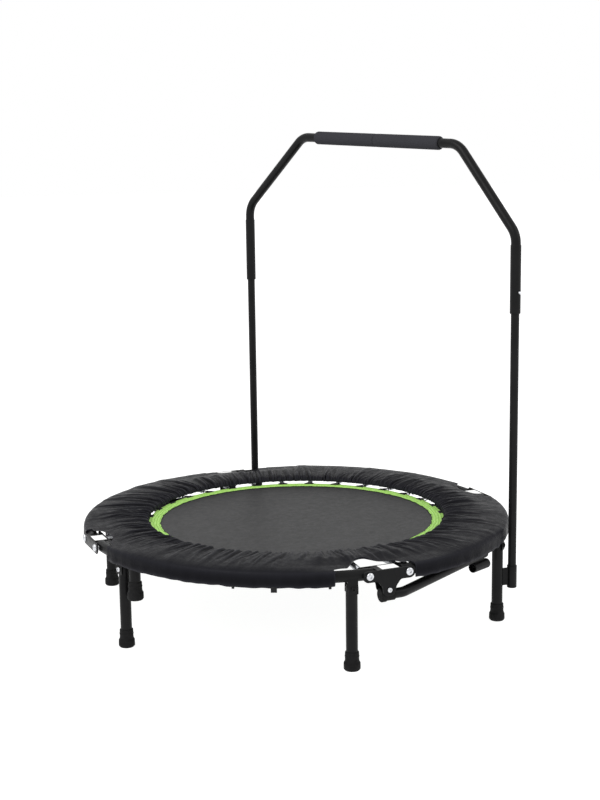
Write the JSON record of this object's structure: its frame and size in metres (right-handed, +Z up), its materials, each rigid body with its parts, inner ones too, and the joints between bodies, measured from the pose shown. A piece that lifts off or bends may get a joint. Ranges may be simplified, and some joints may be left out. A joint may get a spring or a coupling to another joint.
{
  "type": "mini trampoline",
  "caption": "Folding round mini trampoline with a sprung mat, padded cover, tube legs, and a bent handle with foam grips.",
  "frame": {"origin": "centre of the round frame, on the floor", "axes": "+Z up; -Y towards the front hinge; the frame folds in half about the line x = 0"},
  "size_m": [1.0304, 1.0457, 1.1263],
  "materials": {
    "black_steel": "black powder coat, satin",
    "black_rubber": "matt moulded rubber",
    "zinc_steel": "bright zinc plate",
    "foam_grip": "matt closed-cell foam",
    "woven_mat": "woven polypropylene",
    "green_webbing": "stitched green webbing",
    "nylon_cover": "gathered coated nylon",
    "spring_steel": "zinc-plated spring wire"
  },
  "bodies": {
    "right_half": {"frame_front_right": "black_steel", "frame_rear_right": "black_steel", "hinge_bracket_right": "black_steel", "hinge_bolt_right_first": "zinc_steel", "hinge_bolt_right_second": "zinc_steel", "leg_bolt_right": "zinc_steel", "leg_bolt_rear": "zinc_steel", "leg_bolt_rear_right": "zinc_steel", "leg_right": "black_steel", "foot_right": "black_rubber", "leg_rear": "black_steel", "foot_rear": "black_rubber", "handle_socket_right": "black_steel", "handle_socket_rear": "black_steel", "mat_right": "woven_mat", "mat_border_right": "green_webbing", "spring_row_right": "spring_steel", "pad_right": "nylon_cover"},
    "hinge_front": {"hinge_bracket_front": "black_steel", "hinge_bolt_front_first": "zinc_steel", "hinge_bolt_front_second": "zinc_steel", "lever_bolt_front": "zinc_steel"},
    "hinge_rear": {"hinge_bracket_rear": "black_steel", "hinge_bolt_rear_first": "zinc_steel", "hinge_bolt_rear_second": "zinc_steel", "lever_bolt_rear": "zinc_steel"},
    "left_half": {"frame_front_left": "black_steel", "frame_rear_left": "black_steel", "hinge_bracket_left": "black_steel", "hinge_bolt_left_first": "zinc_steel", "hinge_bolt_left_second": "zinc_steel", "leg_bolt_front_left": "zinc_steel", "leg_bolt_front": "zinc_steel", "leg_bolt_rear_left": "zinc_steel", "stand_stub": "black_steel", "stand_stub_foot": "black_rubber", "mat_left": "woven_mat", "mat_border_left": "green_webbing", "spring_row_left": "spring_steel", "pad_left": "nylon_cover"},
    "lever_front": {"fold_lever_front": "black_steel", "lever_end_front": "black_rubber"},
    "lever_rear": {"fold_lever_rear": "black_steel", "lever_end_rear": "black_rubber"},
    "handle": {"handle_upright_right": "black_steel", "handle_upright_rear": "black_steel", "handle_upper": "black_steel", "grip_right": "foam_grip", "grip_rear": "foam_grip"},
    "button_right": {"snap_button_right": "zinc_steel"},
    "button_rear": {"snap_button_rear": "zinc_steel"},
    "folding_leg_front_left": {"leg_front_left": "black_steel", "foot_front_left": "black_rubber"},
    "folding_leg_front": {"leg_front": "black_steel", "foot_front": "black_rubber"},
    "folding_leg_rear_left": {"leg_rear_left": "black_steel", "foot_rear_left": "black_rubber"},
    "folding_leg_rear_right": {"leg_rear_right": "black_steel", "foot_rear_right": "black_rubber"}
  },
  "joints": [
    {"name": "fold_right_bolt_front", "type": "hinge", "parent": "right_half", "child": "hinge_front", "pos_m": [0.046, -0.4906, 0.206], "axis": [0, 1, 0], "range_deg": [0, 90]},
    {"name": "fold_left_bolt_front", "type": "hinge", "parent": "hinge_front", "child": "left_half", "pos_m": [-0.046, -0.4906, 0.206], "axis": [0, 1, 0], "range_deg": [0, 90]},
    {"name": "fold_right_bolt_rear", "type": "hinge", "parent": "right_half", "child": "hinge_rear", "pos_m": [0.046, 0.4906, 0.206], "axis": [0, 1, 0], "range_deg": [0, 90]},
    {"name": "lever_swing_front", "type": "hinge", "parent": "hinge_front", "child": "lever_front", "pos_m": [0, -0.4906, 0.171], "axis": [0, 1, 0], "range_deg": [0, 90]},
    {"name": "lever_swing_rear", "type": "hinge", "parent": "hinge_rear", "child": "lever_rear", "pos_m": [0, 0.4906, 0.171], "axis": [0, -1, 0], "range_deg": [0, 90]},
    {"name": "leg_fold_front_left", "type": "hinge", "parent": "left_half", "child": "folding_leg_front_left", "pos_m": [-0.47146, -0.14414, 0.18], "axis": [-0.9563, -0.2924, 0], "range_deg": [-85, 0]},
    {"name": "leg_fold_front", "type": "hinge", "parent": "left_half", "child": "folding_leg_front", "pos_m": [-0.07797, -0.4868, 0.18], "axis": [-0.1582, -0.9874, 0], "range_deg": [-85, 0]},
    {"name": "leg_fold_rear_left", "type": "hinge", "parent": "left_half", "child": "folding_leg_rear_left", "pos_m": [-0.37766, 0.31689, 0.18], "axis": [-0.766, 0.6428, 0], "range_deg": [0, 85]},
    {"name": "leg_fold_rear_right", "type": "hinge", "parent": "right_half", "child": "folding_leg_rear_right", "pos_m": [0.47146, 0.14414, 0.18], "axis": [0.9563, 0.2924, 0], "range_deg": [-85, 0]},
    {"name": "handle_lift", "type": "slide", "parent": "right_half", "child": "handle", "axis": [0, 0, 1], "range_m": [0, 0.055]},
    {"name": "button_press_right", "type": "slide", "parent": "handle", "child": "button_right", "axis": [-0.342, 0.9397, 0], "range_m": [0, 0.0035], "stiffness_N_per_m": 300},
    {"name": "button_press_rear", "type": "slide", "parent": "handle", "child": "button_rear", "axis": [0.342, -0.9397, 0], "range_m": [0, 0.0035], "stiffness_N_per_m": 300}
  ],
  "couplings": [
    {"joint": "fold_left_bolt_front", "follows": "fold_right_bolt_front", "ratio": 1},
    {"joint": "fold_right_bolt_rear", "follows": "fold_right_bolt_front", "ratio": 1}
  ]
}
